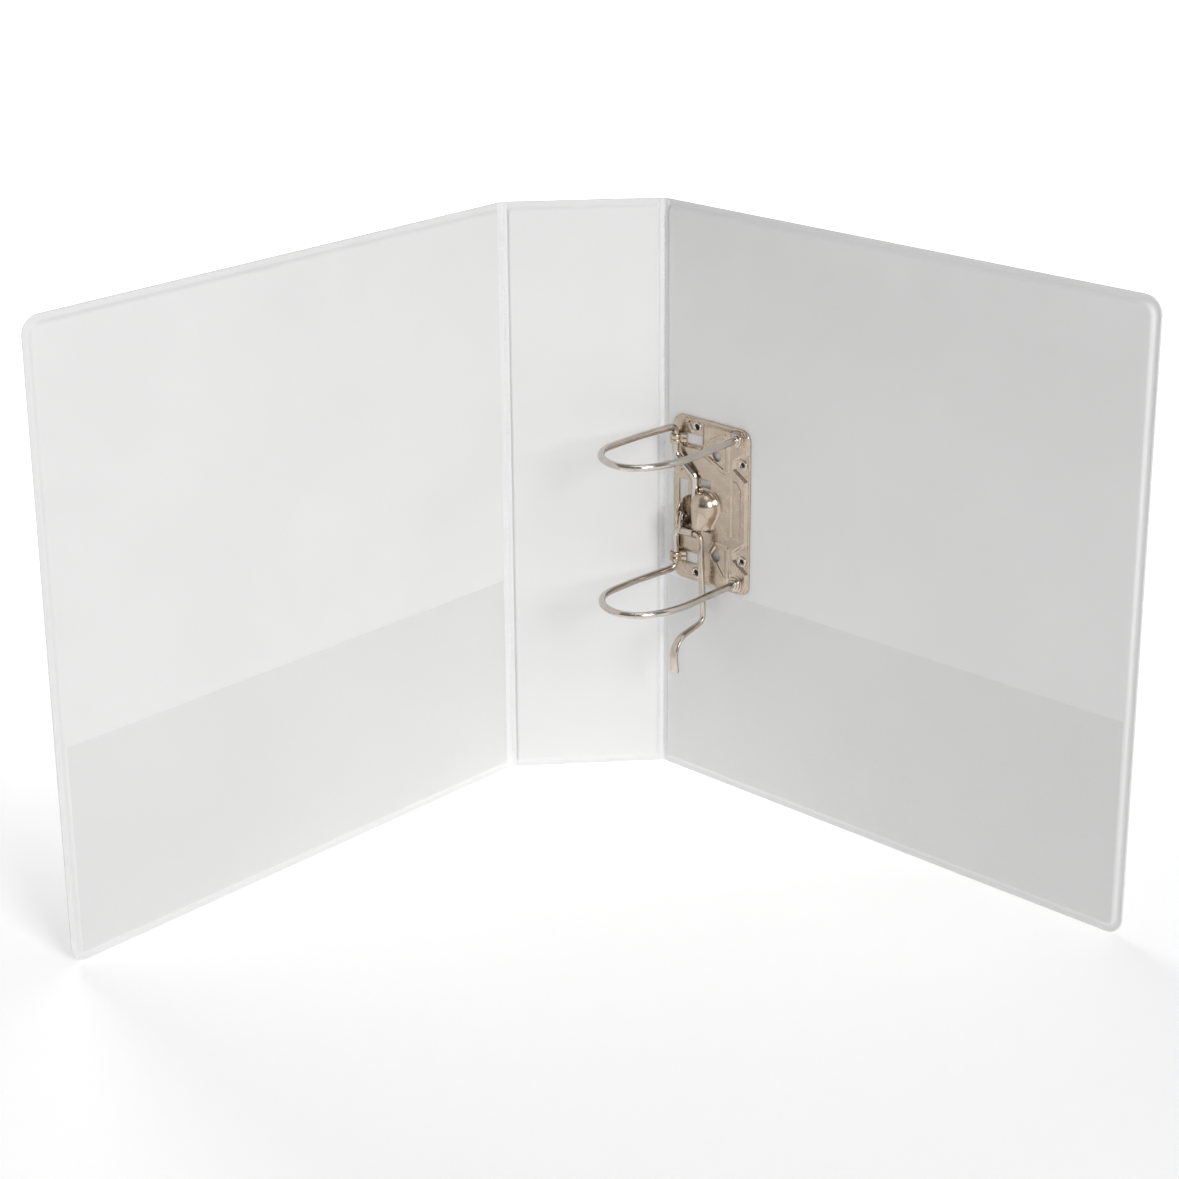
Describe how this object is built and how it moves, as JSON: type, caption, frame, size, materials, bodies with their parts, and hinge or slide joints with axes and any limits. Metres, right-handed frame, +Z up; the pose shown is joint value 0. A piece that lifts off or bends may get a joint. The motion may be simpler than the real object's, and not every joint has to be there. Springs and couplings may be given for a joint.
{
  "type": "lever arch file",
  "caption": "Lever arch file for A4 sheets: board covers and spine in welded white vinyl, with a nickel-plated lever arch mechanism on the back cover.",
  "frame": {"origin": "middle of the spine's foot, on the surface that the file stands on", "axes": "+X along the spine's width towards the back cover, +Y out of the spine's outer side, +Z up the spine"},
  "size_m": [0.5023, 0.2151, 0.32],
  "materials": {
    "outer_vinyl": "white vinyl with a fine grain",
    "inner_vinyl": "white vinyl, satin",
    "hinge_vinyl": "white vinyl with a serrated weld",
    "overlay_film": "clear film",
    "pocket_film": "clear film",
    "binder_board": "grey board",
    "label_card": "plain white card",
    "pressed_nickel": "nickel-plated pressed steel",
    "rivet_nickel": "nickel-plated steel",
    "wire_nickel": "polished nickel-plated steel wire",
    "lever_nickel": "polished nickel-plated steel"
  },
  "bodies": {
    "spine": {"spine_board": "binder_board", "spine_outer_skin": "outer_vinyl", "spine_liner": "inner_vinyl", "spine_overlay": "overlay_film", "front_hinge_weld": "hinge_vinyl", "back_hinge_weld": "hinge_vinyl"},
    "label": {"spine_label": "label_card"},
    "front_cover": {"front_board": "binder_board", "front_outer_skin": "outer_vinyl", "front_liner": "inner_vinyl", "front_overlay": "overlay_film", "front_inner_pocket": "pocket_film"},
    "back_cover": {"back_board": "binder_board", "back_outer_skin": "outer_vinyl", "back_liner": "inner_vinyl", "back_overlay": "overlay_film", "back_inner_pocket": "pocket_film", "base_plate": "pressed_nickel", "plate_rivets": "rivet_nickel", "rivet_washers": "rivet_nickel", "upper_post": "wire_nickel", "lower_post": "wire_nickel", "upper_post_collar": "rivet_nickel", "lower_post_collar": "rivet_nickel", "lever_rivet": "rivet_nickel"},
    "arch": {"arch_wire": "wire_nickel"},
    "lever": {"lever": "lever_nickel", "lever_cheek": "lever_nickel"},
    "cam_roller": {"cam_roller": "lever_nickel"}
  },
  "joints": [
    {"name": "front_hinge", "type": "hinge", "parent": "spine", "child": "front_cover", "pos_m": [-0.0425, 0, 0], "axis": [0, 0, -1], "range_deg": [-49, 41]},
    {"name": "back_hinge", "type": "hinge", "parent": "spine", "child": "back_cover", "pos_m": [0.0425, 0, 0], "axis": [0, 0, 1], "range_deg": [-43, 47]},
    {"name": "lever_pivot", "type": "hinge", "parent": "back_cover", "child": "lever", "pos_m": [0.04843, -0.01853, 0.1516], "axis": [-0.682, 0.7314, 0], "range_deg": [0, 95]},
    {"name": "arch_swing", "type": "hinge", "parent": "back_cover", "child": "arch", "pos_m": [0.0468, -0.01333, 0.16], "axis": [0, 0, -1], "range_deg": [0, 30]},
    {"name": "cam_roller_spin", "type": "hinge", "parent": "lever", "child": "cam_roller", "pos_m": [0.05219, -0.02432, 0.1443], "axis": [0.682, -0.7314, 0], "continuous": true},
    {"name": "label_slide", "type": "slide", "parent": "spine", "child": "label", "axis": [0, 0, 1], "range_m": [0, 0.25]}
  ],
  "couplings": [
    {"joint": "arch_swing", "follows": "lever_pivot", "ratio": 0.3157}
  ]
}
